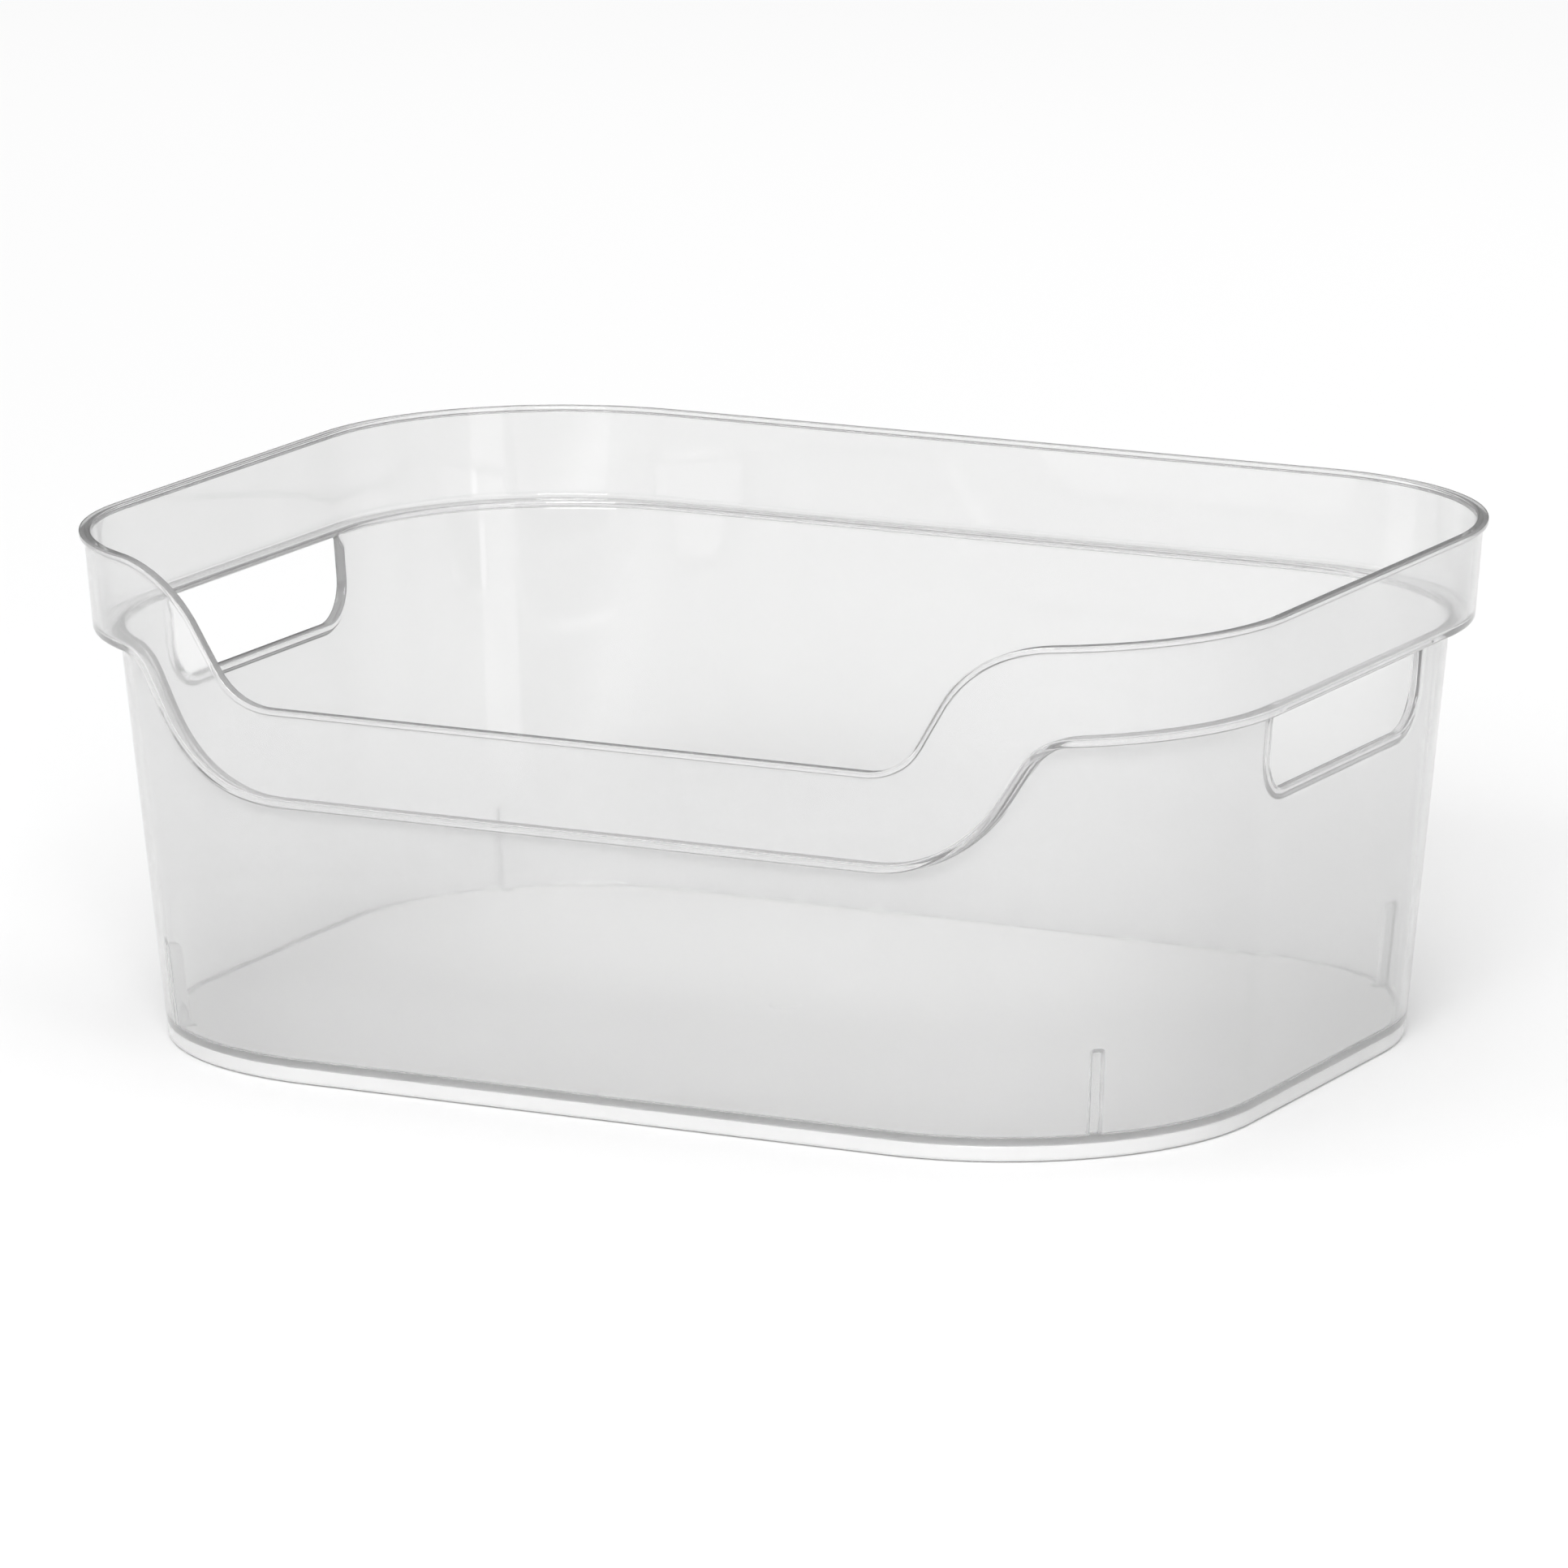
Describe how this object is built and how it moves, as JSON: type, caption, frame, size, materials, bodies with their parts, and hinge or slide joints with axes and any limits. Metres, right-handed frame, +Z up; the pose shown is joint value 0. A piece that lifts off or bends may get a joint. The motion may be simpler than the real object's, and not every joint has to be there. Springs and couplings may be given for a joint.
{
  "type": "open storage bin",
  "caption": "Clear open storage bin with a stepped collar, a scooped front, rounded corners and a hand opening in each end.",
  "frame": {"origin": "centre of the footprint, on the surface the bin stands on", "axes": "+X along the length towards the right-hand hand opening, -Y towards the scooped front, +Z up"},
  "size_m": [0.37, 0.2764, 0.149],
  "materials": {
    "clear_wall": "clear polypropylene, polished",
    "clear_edge": "clear polypropylene, polished edge seen through its length",
    "clear_foot": "clear polypropylene, polished",
    "frosted_floor": "clear polypropylene with a fine frosted texture"
  },
  "bodies": {
    "root": {"back_collar": "clear_wall", "back_ledge": "clear_edge", "back_left_corner_collar": "clear_wall", "back_left_corner_wall": "clear_wall", "back_right_corner_collar": "clear_wall", "back_right_corner_wall": "clear_wall", "back_rim_bead": "clear_edge", "back_wall": "clear_wall", "floor_panel": "frosted_floor", "foot_ring": "clear_foot", "front_collar": "clear_wall", "front_ledge": "clear_edge", "front_left_corner_collar": "clear_wall", "front_left_corner_wall": "clear_wall", "front_right_corner_collar": "clear_wall", "front_right_corner_wall": "clear_wall", "front_rim_bead": "clear_edge", "front_wall": "clear_wall", "left_collar": "clear_wall", "left_grip_lip": "clear_edge", "left_wall": "clear_wall", "nesting_ribs": "clear_wall", "right_collar": "clear_wall", "right_grip_lip": "clear_edge", "right_wall": "clear_wall"}
  },
  "joints": []
}
